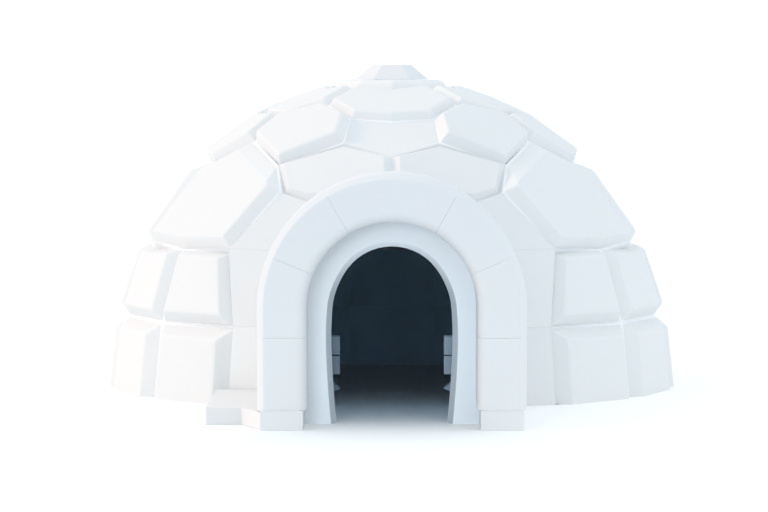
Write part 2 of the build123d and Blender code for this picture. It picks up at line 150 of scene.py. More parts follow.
class IglooCarving(bpy.types.PropertyGroup):
    """How the snow is cut and worn."""

    block_edge: length_setting(
        "Block edge", "How far the soft edge of a raised face reaches", 20 * MM, 60 * MM)
    crown_edge: length_setting(
        "Crown edge", "How far the worn edge of the crown block reaches", 45 * MM, 90 * MM)
    block_corner: length_setting(
        "Block corner", "How far the rounding of a raised face's corner reaches", 26 * MM, 100 * MM)
    face_crown: length_setting(
        "Face crown", "How much lower a raised face is at its rim than in its middle",
        4 * MM, 30 * MM)
    unevenness: length_setting(
        "Unevenness", "Deepest of the soft hollows left by the snow knife", 2.5 * MM, 20 * MM)
    flush_edge: length_setting(
        "Flush edge", "Soft edge of the blocks that aren't raised", 2.5 * MM, 30 * MM)
    stone_joint: length_setting(
        "Arch joint", "Half the width of the fine groove between two arch stones", 4 * MM, 20 * MM)
    stone_edge: length_setting(
        "Arch edge", "Soft edge on both sides of the arch's chamfer", 9 * MM, 20 * MM)
    mouth_wear: length_setting(
        "Mouth wear", "How much further than it was cut the arch's mouth is rounded",
        10 * MM, 40 * MM)
    shoulder_sag: length_setting(
        "Shoulder sag", "How far the opening's shoulders have sagged inwards", 22 * MM, 40 * MM)
    frame_edge: length_setting(
        "Frame edge", "Soft edge of the door frame's band and splay", 7 * MM, 15 * MM)


class IglooColours(bpy.types.PropertyGroup):
    """Base colours of the finishes."""

    dome: colour_setting("Wind-packed snow", "Faces of the dome blocks", "E0E2E3")
    dome_shade: colour_setting(
        "Denser snow", "Soft patches of denser snow in the dome blocks", "DADEE1")
    # painted light: the sloped sides are made whiter than the faces to lift the shade that falls on
    # them
    cut: colour_setting("Fresh cut snow", "Sloped sides and joints of the dome blocks", "E3E6E8")
    # painted light: the joints are made whiter than the faces so that the shade in them doesn't
    # show
    powder: colour_setting("Powder", "Loose powder in the joints between the dome blocks", "EAEDF0")
    # painted light: the blocks are made lighter low down, in place of light thrown up from the
    # floor
    drifted: colour_setting(
        "Drifted snow", "Powder that clings to the blocks, most of all at the ground", "E2E4E5")
    arch: colour_setting("Dressed snow", "Arch, footing, passage and cap", "DADDE2")
    frame: colour_setting("Rubbed snow", "Door frame", "DCE3E9")
    # painted shade: the splay is made darker grey-blue low down and paler at the top, for the shade
    # of the dark opening
    painted_splay_shade: colour_setting("Glazed snow", "Sloped inner edge of the door frame, low down", "A6AFB6")
    lining: colour_setting("Ice lining", "Walls of the room and the passage", "D0F0FF")
    jamb: colour_setting("Packed ice", "Small blocks right of the passage", "90A0AE")
    # painted shade: the blocks left of the passage are a darker copy of the packed ice, for the
    # shade on the side away from the key light
    jamb_painted_shade: colour_setting("Dense ice", "Small blocks left of the passage", "6C7C8A")


class IglooStudio(bpy.types.PropertyGroup):
    """Camera, light and floor."""

    camera_distance: length_setting(
        "Camera distance", "From the dome's axis to the camera", 26.4, 100)
    camera_height: length_setting(
        "Camera height", "Height of the camera above the ground", 2.347, 50)
    camera_lens: bpy.props.FloatProperty(
        name="Lens", description="Focal length of the camera in millimetres",
        default=158.6, min=20, max=400)
    aim_side: bpy.props.FloatProperty(
        name="Aim to the side", description="Sideways place of the point that the camera looks at",
        default=-0.062, unit="LENGTH")
    aim_height: length_setting(
        "Aim height", "Height of the point that the camera looks at", 0.996, 10)
    sky_strength: strength_setting("Surround", "Brightness of the white surround", 1.12)
    sky_colour: bpy.props.FloatVectorProperty(
        name="Surround colour", description="White with a breath of cold blue",
        default=(0.94, 1.0, 1.04), size=3, min=0, max=2, subtype="COLOR")
    key_strength: strength_setting(
        "Key light", "Strength of the soft key light from the left", 1.04)
    key_azimuth: angle_setting(
        "Key azimuth", "Turn of the key light from the entrance's side", radians(-90))
    key_elevation: angle_setting(
        "Key elevation", "Height of the key light above the horizon", radians(25))
    key_spread: angle_setting("Key spread", "Apparent size of the key light", radians(14))
    key_colour: colour_setting("Key colour", "Colour of the key light", "FFCDA8")
    fill_strength: strength_setting(
        "Fill light", "Strength of the faint light from the front on the frame", 0.7)
    side_strength: strength_setting(
        "Side light", "Strength of the faint side light on the low panels", 0.4)
    floor_size: length_setting("Floor", "Length of each side of the floor", 400, 2000)
    floor_colour: colour_setting("Floor colour", "Colour of the floor", "FFFFFF")


# ---- materials
def add_node(tree, kind, inputs=(), **settings):
    """Adds a node with its settings; each input takes a value or another node's output."""
    node = tree.nodes.new(kind)
    for name, value in settings.items():
        setattr(node, name, value)
    for name, value in dict(inputs).items():
        if isinstance(value, bpy.types.NodeSocket):
            tree.links.new(value, node.inputs[name])
        else:
            node.inputs[name].default_value = value
    return node


def new_finish(name):
    """Material with a shader: the material, its tree, the shader and the object's coordinates."""
    material = bpy.data.materials.get(name)
    if material:
        bpy.data.materials.remove(material)
    material = bpy.data.materials.new(name)
    material.use_nodes = True
    tree = material.node_tree
    tree.nodes.clear()
    shader = add_node(tree, "ShaderNodeBsdfPrincipled")
    add_node(tree, "ShaderNodeOutputMaterial", {"Surface": shader.outputs["BSDF"]})
    place = add_node(tree, "ShaderNodeTexCoord").outputs["Object"]
    return material, tree, shader, place


def dress_shader(tree, shader, tint, gloss, bump, specular):
    """Gives the shader its colour, roughness and relief, with the IOR of ice."""
    tree.links.new(tint.outputs[MIXED], shader.inputs["Base Color"])
    tree.links.new(gloss.outputs["Result"], shader.inputs["Roughness"])
    tree.links.new(bump.outputs["Normal"], shader.inputs["Normal"])
    shader.inputs["IOR"].default_value = ICE_IOR
    shader.inputs["Specular IOR Level"].default_value = specular


# each snow's settings for its colour, its denser patches and its painted light low down, and then
# its roughness and the depths of its grain and its strokes
SNOWS = {
    # dome blocks: wind-packed snow cut with a knife, matt and bright, with hardly any texture
    "wind_packed_snow": ("dome", "dome_shade", "drifted", 0.8, 0.25 * MM, 1.0 * MM),
    # their sloped sides: painted light, a whiter snow that lifts the shade that falls on them
    "cut_side_painted_light": ("cut", "dome", "drifted", 0.85, 0.3 * MM, 0.6 * MM),
    # their joints: painted light, so white that the joints stay light where shade falls in them
    "joint_painted_light": ("powder", "powder", "powder", 0.9, 0.5 * MM, 0.6 * MM),
    # arch, footing, passage and cap: snow dressed smooth with the flat of the knife
    "dressed_snow": ("arch", "dome_shade", "drifted", 0.75, 0.15 * MM, 0.4 * MM),
    # door frame: snow rubbed by hand until it is smooth, so it has a faint sheen
    "rubbed_snow": ("frame", "dome_shade", "frame", 0.6, 0.1 * MM, 0.3 * MM),
}


def carved_snow(name, colours):
    """Snow with soft denser patches, fine grain, faint knife strokes, and painted light low down.
    """
    *hues, rough, grain_depth, stroke_depth = SNOWS[name]
    colour, shade, drifted = (getattr(colours, hue) for hue in hues)
    material, tree, shader, place = new_finish(name)
    # patches of denser snow about 450 mm wide
    patches = add_node(tree, "ShaderNodeTexNoise", {
        "Vector": place, "Scale": 1 / (450 * MM), "Detail": 3.0, "Roughness": 0.55})
    tint = add_node(tree, "ShaderNodeMix", {
        "Factor": patches.outputs["Fac"], MIX_A: (*shade, 1), MIX_B: (*colour, 1)},
        data_type="RGBA")
    # painted light low down: a lighter colour, from nothing at 1500 mm to all at the ground
    height = add_node(tree, "ShaderNodeSeparateXYZ", {"Vector": place}).outputs["Z"]
    depth = add_node(tree, "ShaderNodeMapRange", {
        "Value": height, "From Min": 1500 * MM, "From Max": 0})
    powder = add_node(tree, "ShaderNodeMix", {
        "Factor": depth.outputs["Result"], MIX_A: tint.outputs[MIXED], MIX_B: (*drifted, 1)},
        data_type="RGBA")
    # grains of 1 to 2 mm, drawn 14 mm wide so that they show
    grain = add_node(tree, "ShaderNodeTexNoise", {
        "Vector": place, "Scale": 1 / (14 * MM), "Detail": 4.0, "Roughness": 0.6})
    # strokes of the snow knife, 35 mm high and 200 mm long
    stretched = add_node(tree, "ShaderNodeMapping", {
        "Vector": place, "Scale": (1 / (200 * MM), 1 / (200 * MM), 1 / (35 * MM))})
    strokes = add_node(tree, "ShaderNodeTexNoise", {
        "Vector": stretched.outputs["Vector"], "Scale": 1.0, "Detail": 2.0, "Roughness": 0.5})
    fine = add_node(tree, "ShaderNodeMath", {0: grain.outputs["Fac"], 1: grain_depth},
                    operation="MULTIPLY")
    relief = add_node(tree, "ShaderNodeMath", {
        0: strokes.outputs["Fac"], 1: stroke_depth, 2: fine.outputs[0]}, operation="MULTIPLY_ADD")
    bump = add_node(tree, "ShaderNodeBump", {
        "Height": relief.outputs[0], "Strength": 1.0, "Distance": 1.0})
    gloss = add_node(tree, "ShaderNodeMapRange", {
        "Value": grain.outputs["Fac"], "To Min": rough - 0.1, "To Max": rough + 0.1})
    dress_shader(tree, shader, powder, gloss, bump, SNOW_SHINE)
    return material


def splay_painted_shade(colours):
    """Sloped edge of the opening: painted shade, grey-blue low down and paler at the top."""
    material, tree, shader, place = new_finish("splay_painted_shade")
    height = add_node(tree, "ShaderNodeSeparateXYZ", {"Vector": place}).outputs["Z"]
    # the painted shade fades out between 900 and 1250 mm above the ground
    fade = add_node(tree, "ShaderNodeMapRange", {
        "Value": height, "From Min": 900 * MM, "From Max": 1250 * MM})
    tint = add_node(tree, "ShaderNodeMix", {
        "Factor": fade.outputs["Result"], MIX_A: (*colours.painted_splay_shade, 1),
        MIX_B: (*colours.frame, 1)}, data_type="RGBA")
    # smears 25 mm wide
    smears = add_node(tree, "ShaderNodeTexNoise", {
        "Vector": place, "Scale": 1 / (25 * MM), "Detail": 3.0, "Roughness": 0.5})
    bump = add_node(tree, "ShaderNodeBump", {
        "Height": smears.outputs["Fac"], "Strength": 1.0, "Distance": 0.2 * MM})
    gloss = add_node(tree, "ShaderNodeMapRange", {
        "Value": smears.outputs["Fac"], "To Min": 0.45, "To Max": 0.6})
    dress_shader(tree, shader, tint, gloss, bump, SNOW_SHINE)
    return material


def clouded_ice(name, dark, light, clouds, ripples, depth, rough, specular):
    """Ice with cloudy patches from dark to light, and ripples of a depth on its surface.

    clouds and ripples are each a pattern's width, detail and roughness. rough is the range of the
    surface's own roughness, which follows the clouds.
    """
    material, tree, shader, place = new_finish(name)
    patches, waves = (add_node(tree, "ShaderNodeTexNoise", {
        "Vector": place, "Scale": 1 / width, "Detail": detail, "Roughness": soft}).outputs["Fac"]
        for width, detail, soft in (clouds, ripples))
    tint = add_node(tree, "ShaderNodeMix", {
        "Factor": patches, MIX_A: (*dark, 1), MIX_B: (*light, 1)}, data_type="RGBA")
    bump = add_node(tree, "ShaderNodeBump", {"Height": waves, "Strength": 1.0, "Distance": depth})
    gloss = add_node(tree, "ShaderNodeMapRange", {
        "Value": patches, "To Min": rough[0], "To Max": rough[1]})
    dress_shader(tree, shader, tint, gloss, bump, specular)
    return material


def ice_lining(colours):
    """Inside walls: snow thawed and frozen again to a thin skin of ice. Pale blue and glassy."""
    red, green, blue = colours.lining
    # clear and bluer cloudy patches about 300 mm wide, ripples of melt water 40 mm apart
    return clouded_ice("ice_lining", (0.9 * red, 0.9 * green, blue), colours.lining,
                       (300 * MM, 3.0, 0.5), (40 * MM, 2.0, 0.4), 0.6 * MM, (0.45, 0.65), 0.25)


def packed_ice(name, colour):
    """Small blocks beside the passage: grey-blue packed ice, a little glossier than snow."""
    pale = tuple(min(1, 1.25 * share) for share in colour)
    # cloudy patches about 60 mm wide, grains of ice 6 mm wide
    return clouded_ice(name, colour, pale,
                       (60 * MM, 4.0, 0.6), (6 * MM, 3.0, 0.5), 0.3 * MM, (0.4, 0.55), 0.5)


# ---- meshes
def dome_centre():
    """The point on the ground under the middle of the crown's cap."""
    low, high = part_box("crown_cap")
    return np.array([(low[0] + high[0]) / 2, (low[1] + high[1]) / 2, 0.0])


def soft_hollows(points):
    """Unevenness from 0 to 1 at each point: a sum of nine waves 0.25 to 0.9 m long.

    Each wave is the sine of the point's distance along its own direction over its length.
    """
    rng = np.random.default_rng(11)
    directions = rng.normal(size=(9, 3))
    directions /= np.linalg.norm(directions, axis=1, keepdims=True)
    lengths = np.linspace(0.25, 0.9, len(directions))
    waves = np.sin(2 * pi * points @ (directions / lengths[:, None]).T + rng.uniform(0, 2 * pi, 9))
    return np.clip(0.5 + 0.35 * waves.sum(axis=-1) / np.sqrt(len(directions)), 0, 1)


def solids_of(name):
    """Points and triangles of each solid in a node of the frame, with doubles merged.

    Triangles that share a point are one solid: the lowest label spreads until none changes.
    """
    mesh = frame["nodes"][name].data
    mesh.calc_loop_triangles()
    places = np.empty(3 * len(mesh.vertices), dtype=np.float32)
    mesh.vertices.foreach_get("co", places)
    corners = np.empty(3 * len(mesh.loop_triangles), dtype=np.int32)
    mesh.loop_triangles.foreach_get("vertices", corners)
    places = places.reshape(-1, 3).round(5)  # to the hundredth of a millimetre
    points, same = np.unique(places, axis=0, return_inverse=True)
    triangles = same.ravel()[corners].reshape(-1, 3)
    labels = np.arange(len(points))
    while True:
        spread = labels.copy()
        np.minimum.at(spread, triangles, labels[triangles].min(axis=1, keepdims=True))
        if (spread == labels).all():
            break
        labels = spread
    solids = []
    for label in np.unique(labels):
        inside = labels == label
        own = triangles[inside[triangles[:, 0]]]
        solids.append((points[inside].astype(float), (np.cumsum(inside) - 1)[own]))
    return solids


def closed_shell(rings, poles):
    """Points and faces of a shell: rings joined into quads, and a fan to a pole at each end.

    rings is (levels, around, 3), anticlockwise when seen from the last pole; poles is (2, 3).
    Returns the points, a list of face arrays, and the level that each face starts from.
    """
    levels, around = rings.shape[:2]
    points = np.concatenate([poles[:1], rings.reshape(-1, 3), poles[1:]])
    here = 1 + np.arange(around)
    after = 1 + (np.arange(around) + 1) % around
    low = around * np.arange(levels - 1)[:, None]
    quads = np.stack([low + here, low + after, low + around + after, low + around + here], axis=-1)
    top = around * (levels - 1)
    first = np.stack([np.zeros_like(here), after, here], axis=-1)
    last = np.stack([top + here, top + after, np.full_like(here, len(points) - 1)], axis=-1)
    starts = [np.repeat(level, around) for level in (0, np.arange(1, levels), levels)]
    return points, [first, quads.reshape(-1, 4), last], starts


def mesh_object(name, shells, materials):
    """Object made of shells; each shell is its points, its face arrays and their material slots."""
    old = bpy.data.objects.get(name)
    if old:
        bpy.data.objects.remove(old)
    offset = np.cumsum([0] + [len(points) for points, _, _ in shells])
    faces = [face + start for (_, arrays, _), start in zip(shells, offset) for face in arrays]
    slots = np.concatenate([slot for _, _, arrays in shells for slot in arrays])
    sizes = np.concatenate([np.full(len(face), face.shape[1]) for face in faces])
    loops = np.concatenate([face.ravel() for face in faces])
    points = np.concatenate([points for points, _, _ in shells])
    mesh = bpy.data.meshes.new(name)
    mesh.vertices.add(len(points))
    mesh.vertices.foreach_set("co", points.ravel())
    mesh.loops.add(len(loops))
    mesh.loops.foreach_set("vertex_index", loops.astype(np.int32))
    mesh.polygons.add(len(sizes))
    mesh.polygons.foreach_set("loop_start", (np.cumsum(sizes) - sizes).astype(np.int32))
    for material in materials:
        mesh.materials.append(material)
    mesh.polygons.foreach_set("material_index", slots.astype(np.int32))
    mesh.update(calc_edges=True)
    mesh.shade_smooth()
    mesh.set_sharp_from_angle(angle=FOLDED)
    piece = bpy.data.objects.new(name, mesh)
    bpy.context.scene.collection.objects.link(piece)
    return piece


def place_piece(piece, nodes):
    """Puts a finished piece in place of its nodes."""
    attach(piece, "root")
    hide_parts(*nodes)


def in_order(points, normal):
    """Corners of a flat outline put in order, anticlockwise seen against the normal.

    The order is that of the angle round the middle of the corners.
    """
    spokes = points - points.mean(axis=0)
    across = spokes[0] / np.linalg.norm(spokes[0])
    return points[np.argsort(np.arctan2(spokes @ np.cross(normal, across), spokes @ across))]


def block_outlines(points, triangles, centre):
    """Outlines of a raised block, read off its solid.

    The inner face is the one that looks most squarely at the dome's centre, and the outer face is
    parallel to it. The corners highest and lowest along their normal are the head and the inner
    outline. The rest lie on the strip round the raised part: the joint's corners are the inner ones
    carried straight out from the dome's centre, and the others are the foot of the sloped sides.
    Returns the normal, and the outlines of the inner face, joint, foot and head.
    """
    a, b, c = (points[triangles[:, i]] for i in range(3))
    areas = np.cross(b - a, c - a)
    size = np.linalg.norm(areas, axis=1)
    whole = size > 1e-6  # square metres: slivers have no sure normal
    areas, size, a = areas[whole], size[whole], a[whole]
    reach = ((a - centre) * areas).sum(axis=1) / size
    normal = -areas[reach < reach.min() + SAME_PLACE].sum(axis=0)
    normal /= np.linalg.norm(normal)
    heights = (points - centre) @ normal
    is_head = heights > heights.max() - SAME_PLACE
    is_inner = heights < heights.min() + SAME_PLACE
    strip = points[~(is_head | is_inner)]
    inner = in_order(points[is_inner], normal)
    ratio = ((strip - centre) @ normal).mean() / heights.min()
    joint = centre + (inner - centre) * ratio
    apart = np.linalg.norm(strip[:, None] - joint[None], axis=-1).min(axis=1)
    head = in_order(points[is_head], normal)
    foot = in_order(strip[apart > NEAR], normal)
    if len(foot) != len(head):
        raise ValueError(f"a block has {len(foot)} corners at its foot and {len(head)} at its head")
    turns = [np.linalg.norm(np.roll(foot, turn, axis=0) - head) for turn in range(len(foot))]
    foot = np.roll(foot, int(np.argmin(turns)), axis=0)
    return normal, inner, joint, foot, head


def seen_from(centre, points):
    """Distance and direction of each point from the centre."""
    reach = np.linalg.norm(points - centre, axis=1)
    return reach, (points - centre) / reach[:, None]


def meet_neighbours(joints, flush, centre):
    """Joint outlines with each corner carried out or in to where its neighbours' corners are.

    Corners that lie in one direction from the dome's centre are one corner of the wall. It takes
    the distance of a flush block's corner if there is one, or else the mean of the raised ones'.
    """
    reach, ways = seen_from(centre, np.concatenate(joints))
    flush_reach, flush_ways = seen_from(centre, flush)
    same = ways @ ways.T > SAME_WAY
    mean = (same * reach).sum(axis=1) / same.sum(axis=1)
    outermost = ((ways @ flush_ways.T > SAME_WAY) * flush_reach).max(axis=1)
    shared = centre + ways * np.where(outermost > 0, outermost, mean)[:, None]
    return np.split(shared, np.cumsum([len(joint) for joint in joints])[:-1])


def level_corners(points, flush, centre):
    """Points of a flush block with each joint corner carried out to its outermost neighbour's.

    Corners further apart than 100 mm lie on two sides of the wall, and aren't brought together.
    """
    reach, ways = seen_from(centre, points)
    flush_reach, flush_ways = seen_from(centre, flush)
    same = (ways @ flush_ways.T > SAME_WAY) & (np.abs(reach[:, None] - flush_reach) < 100 * MM)
    return centre + ways * (same * flush_reach).max(axis=1)[:, None]


def side_places(foot, joint, samples):
    """Places round an outline: the side and the share of it at each sample, and the joint there.

    Shares are half of one less the cosine of equal steps of half a turn, so they crowd the corners.
    Between two corners of the foot the joint may bend, and the nearest sample moves to each bend.
    """
    count = len(foot)
    nearest = np.linalg.norm(foot[:, None] - joint[None], axis=-1).argmin(axis=1)
    even = (1 - np.cos(pi * np.arange(samples) / samples)) / 2
    shares, places = [], []
    for i in range(count):
        steps = (nearest[(i + 1) % count] - nearest[i]) % len(joint)
        run = joint[(nearest[i] + np.arange(steps + 1)) % len(joint)]
        lengths = np.linalg.norm(np.diff(run, axis=0), axis=1)
        marks = np.concatenate([[0], np.cumsum(lengths)]) / lengths.sum()
        share = even.copy()
        for mark in marks[1:-1]:
            share[1 + np.abs(share[1:] - mark).argmin()] = mark
        share.sort()
        shares.append(share)
        places.append(np.stack([np.interp(share, marks, run[:, k]) for k in range(3)], axis=-1))
    side = np.repeat(np.arange(count), samples)
    return side, np.concatenate(shares), np.concatenate(places)


def rounded(corners, side, share, cuts):
    """Outline through samples of its sides, with each corner rounded.

    Within its cut of a corner, a sample moves to the curve that starts one cut before the corner,
    ends one cut after it and has the corner as its middle control point. No cut is longer than
    0.45 of a side.
    """
    along = np.roll(corners, -1, axis=0) - corners
    lengths = np.linalg.norm(along, axis=1)
    along = along / lengths[:, None]
    cut = np.minimum(cuts, 0.45 * np.minimum(lengths, np.roll(lengths, 1)))
    before = (share * lengths[side])[:, None]
    left = ((1 - share) * lengths[side])[:, None]
    points = corners[side] + along[side] * before
    after_side = (side + 1) % len(corners)
    start, end = cut[side][:, None], cut[after_side][:, None]
    u = 0.5 * (1 + before / np.maximum(start, 1e-9))
    bend = corners[side] - (1 - u) ** 2 * start * along[side - 1] + u ** 2 * start * along[side]
    points = np.where(before < start, bend, points)
    u = 0.5 * (1 - left / np.maximum(end, 1e-9))
    bend = corners[after_side] - (1 - u) ** 2 * end * along[side] + u ** 2 * end * along[after_side]
    return np.where(left < end, bend, points)


def bend_levels(start, corner, end, samples):
    """Points of the curve from start to end that leaves and arrives on the lines to the corner."""
    start, corner, end = (np.asarray(point, dtype=float) for point in (start, corner, end))
    u = np.linspace(0, 1, samples).reshape(-1, *[1] * start.ndim)
    return (1 - u) ** 2 * start + 2 * u * (1 - u) * corner + u ** 2 * end


def drawn_in(corners, normal, amounts):
    """Flat outline with each side moved inwards by its own amount.

    Each corner moves by the mix of the inward directions of its two sides that has the wanted
    length along both of them.
    """
    along = np.roll(corners, -1, axis=0) - corners
    inward = np.cross(normal, along)
    inward /= np.linalg.norm(inward, axis=1, keepdims=True)
    before, wanted = np.roll(inward, 1, axis=0), np.roll(amounts, 1)
    cosine = (before * inward).sum(axis=1)
    first = (wanted - cosine * amounts) / (1 - cosine ** 2)
    second = (amounts - cosine * wanted) / (1 - cosine ** 2)
    return corners + first[:, None] * before + second[:, None] * inward


def raised_block(outlines, joint, centre, carving, edge):
    """Closed shell of one raised block.

    Level by level it goes from the middle of the inner face out to the inner outline, up to the
    joint, across to the foot, up the sloped side, over the soft edge and on to the middle of the
    face. The sloped side is the foot's outline moved towards the head's by a share. The face sinks
    from its middle by the square of the share of the way to its rim.
    """
    normal, inner, _, foot, head = outlines
    relief = (head - foot).mean(axis=0) @ normal
    flat_head = head - relief * normal
    side, share, joint_ring = side_places(foot, joint, SIDE_SAMPLES)
    spokes = joint_ring - centre
    inner_ring = centre + spokes * (((inner[0] - centre) @ normal) / (spokes @ normal))[:, None]
    on_ground = foot[:, 2] < NEAR
    up = np.array([0, 0, 1]) - normal[2] * normal
    draft = np.linalg.norm((flat_head - foot)[~on_ground], axis=1).mean()
    rim_height = relief - carving.face_crown
    lead = edge / np.hypot(draft, relief)
    reach = np.where(on_ground & np.roll(on_ground, -1), 0.0, edge)
    slope = flat_head - foot + rim_height * normal
    shoulder = bend_levels(foot + slope * (1 - lead), foot + slope,
                           drawn_in(flat_head, normal, reach) + rim_height * normal, EDGE_LEVELS)
    levels = np.concatenate([[foot, foot + JOINT_LIGHT_TOP * slope], shoulder])
    rings = [inner_ring, joint_ring]
    for corners, part in zip(levels, np.linspace(FOOT_ROUNDING, 1, len(levels))):
        corners[on_ground] -= up * (corners[on_ground][:, 2:] / up[2])
        cuts = np.where(on_ground, 0.0, carving.block_corner * part)
        rings.append(rounded(corners, side, share, cuts))
    rim = rings[-1]
    middle = rim.mean(axis=0)
    middle += normal * (rim_height - (middle - foot[0]) @ normal)
    for part in FACE_SHARES:
        rings.append(middle + (rim - middle) * part + normal * carving.face_crown * (1 - part ** 2))
    rings = np.stack(rings)
    worn = rings[-len(shoulder) - len(FACE_SHARES):]
    worn -= (carving.unevenness * soft_hollows(worn))[..., None] * normal
    worn[..., 2] = np.maximum(worn[..., 2], 0)
    points, faces, starts = closed_shell(rings, rings[[0, -1]].mean(axis=1))
    # from the inner outline to the top of the joint's painted light, and then to the middle of the
    # soft edge
    ends = [1, 4, 4 + EDGE_LEVELS // 2 + 1]
    return points, faces, [np.select([start < end for end in ends], [ICE, JOINT_LIGHT, CUT], FACE)
                           for start in starts]


def soften(name, node, edge, materials, lining=None, reshape=lambda points: points):
    """Puts a copy of a node with soft edges in its place.

    Faces that the test for the lining picks out wear the second material.
    """
    piece = mesh_object(name, [(reshape(points), [triangles], [np.zeros(len(triangles), int)])
                               for points, triangles in solids_of(node)], materials)
    work = bmesh.new()
    work.from_mesh(piece.data)
    bmesh.ops.dissolve_limit(work, angle_limit=MERGED, verts=work.verts, edges=work.edges,
                             delimit={"MATERIAL"})
    work.to_mesh(piece.data)
    work.free()
    if lining:
        mesh = piece.data
        middles = np.empty(3 * len(mesh.polygons), dtype=np.float32)
        mesh.polygons.foreach_get("center", middles)
        normals = np.empty_like(middles)
        mesh.polygons.foreach_get("normal", normals)
        lined = lining(middles.reshape(-1, 3), normals.reshape(-1, 3))
        mesh.polygons.foreach_set("material_index", lined.astype(np.int32))
    bevel = piece.modifiers.new("Soft edges", "BEVEL")
    bevel.width = edge
    bevel.segments = 3
    bevel.limit_method = "ANGLE"
    bevel.angle_limit = BEVELLED
    bevel.use_clamp_overlap = True
    bevel.harden_normals = True
    piece.data.shade_smooth()
    piece.data.set_sharp_from_angle(angle=CREASED)
    place_piece(piece, [node])


def faces_room(middles, normals):
    """True for faces within about 40 degrees of looking at the room's middle, 600 mm up."""
    inward = dome_centre() + np.array([0, 0, 600 * MM]) - middles
    inward /= np.linalg.norm(inward, axis=1, keepdims=True)
    return (inward * normals).sum(axis=1) > 0.75


def faces_passage(middles, normals):
    """True for faces on the passage's inner side.

    They lie within three quarters of its outer radius, and look towards its middle or the room.
    """
    outer, _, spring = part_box("passage_walls_front")[1]
    radial = middles * (1, 0, 1)
    radial[:, 2] = np.maximum(radial[:, 2] - spring, 0)
    distance = np.linalg.norm(radial, axis=1)
    inward = -(radial * normals).sum(axis=1) / np.maximum(distance, 1e-6)
    return (distance < 0.75 * outer) & ((inward > 0.6) | (normals[:, 1] > 0.9))


# ---- arch and frame
def arch_path(distance, radius):
    """Angle from the vertical and drop below the spring, at a distance along an arch.

    The distance starts from the crown. Up to a quarter turn the angle is distance over radius;
    past that the angle stays and the rest of the distance is the drop.
    """
    angle = np.clip(distance / radius, -pi / 2, pi / 2)
    return angle, np.maximum(np.abs(distance) - radius * pi / 2, 0)


def sweep(sections, angles, drops, spring, front):
    """Rings of a section carried along the arch.

    A section's point at radius r and depth v lies at r times the sine of the angle across, r times
    its cosine above the spring less the drop, and v behind the front.
    """
    radius, depth = sections[..., 0], sections[..., 1]
    angle, drop = angles[:, None], drops[:, None]
    return np.stack([radius * np.sin(angle), front + depth,
                     spring + radius * np.cos(angle) - drop], axis=-1)


def soft_corner(corner, before, after, edge, samples):
    """Points over a corner, from one edge before it to one edge after it."""
    corner, before, after = np.array([corner, before, after], dtype=float)
    return bend_levels(corner + edge * before, corner, corner + edge * after, samples)


def arch_section(sizes, mouth, edge, inset):
    """Section of an arch stone as radius and depth, moved inwards by an inset.

    From the outer back corner: along the outer side to the chamfer, over it with a soft edge on
    both sides, across the face, round the mouth on a quarter ellipse, back along the inner side.
    """
    inner, outer, depth = sizes["inner"], sizes["outer"], sizes["depth"]
    low, high, back, half = inner + inset, outer - inset, depth - inset, 0.5 * depth
    slant = sizes["chamfer"] - SLANT_INSET * inset
    first = soft_corner((high, slant), (0, 1), (-DIAGONAL, -DIAGONAL), edge, 5)
    second = soft_corner((outer - slant, inset), (DIAGONAL, DIAGONAL), (-1, 0), edge, 5)
    turn = np.linspace(0, pi / 2, 13)
    bottom, deep = inner + mouth, MOUTH_STRETCH * mouth
    corner = np.stack([bottom - (mouth - inset) * np.sin(turn),
                       deep - (deep - inset) * np.cos(turn)], axis=-1)
    across = np.linspace(second[-1], corner[0], 7)[1:-1]
    rest = np.array([[low, half], [low, back], [(low + high) / 2, back], [high, back],
                     [high, half]])
    return np.concatenate([first, second, across, corner, rest])


def arch_stone(start, end, sizes, carving, side):
    """Closed shell of one arch stone, between two distances along the arch.

    Its ends draw in by the joint's half width on a rounded step, which leaves a fine groove. Its
    front has half the hollows of the dome blocks.
    """
    gap, edge = carving.stone_joint, carving.stone_edge
    ends = np.array([0.0, 0.15, 0.5, 1.0]) * gap
    insets = gap * (1 - np.sqrt(1 - (1 - ends / gap) ** 2))
    body = np.linspace(start + gap, end - gap, 2 + int((end - start) / RING_STEP))[1:-1]
    distance = np.concatenate([start + ends, body, end - ends[::-1]])
    inset = np.concatenate([insets, np.zeros(len(body)), insets[::-1]])
    mouth = sizes["mouth"] + carving.mouth_wear
    sections = np.stack([arch_section(sizes, mouth, edge, step) for step in inset])
    angles, drops = arch_path(distance, sizes["middle"])
    rings = sweep(sections, side * angles, drops, sizes["spring"], sizes["front"])
    front = (sections[..., 1] < 0.3 * sizes["depth"]) & (inset[:, None] < 0.5 * gap)
    rings[..., 1] += np.where(front, 0.5 * carving.unevenness * soft_hollows(rings), 0)
    if side > 0:
        rings = rings[:, ::-1]  # so that faces point outwards
    points, faces, _ = closed_shell(rings, rings[[0, -1]].mean(axis=1))
    return points, faces, [np.zeros(len(face), int) for face in faces]


def frame_section(opening, outer, front, back, splay, edge):
    """Section of the door frame as radius and depth, from its outer back corner.

    Forward along the outer side, across the front band, over a soft edge and down the splay,
    then back along the opening.
    """
    band = soft_corner((opening + splay, front), (1, 0), (-DIAGONAL, DIAGONAL), edge, 6)
    inner = soft_corner((opening, front + splay), (DIAGONAL, -DIAGONAL), (0, 1), edge, 6)
    face = np.linspace((outer, front), band[0], 6)[:-1]
    half = (front + back) / 2
    return np.concatenate([[[outer, back], [outer, half]], face, band, inner,
                           [[opening, half], [opening, back], [(opening + outer) / 2, back]]])


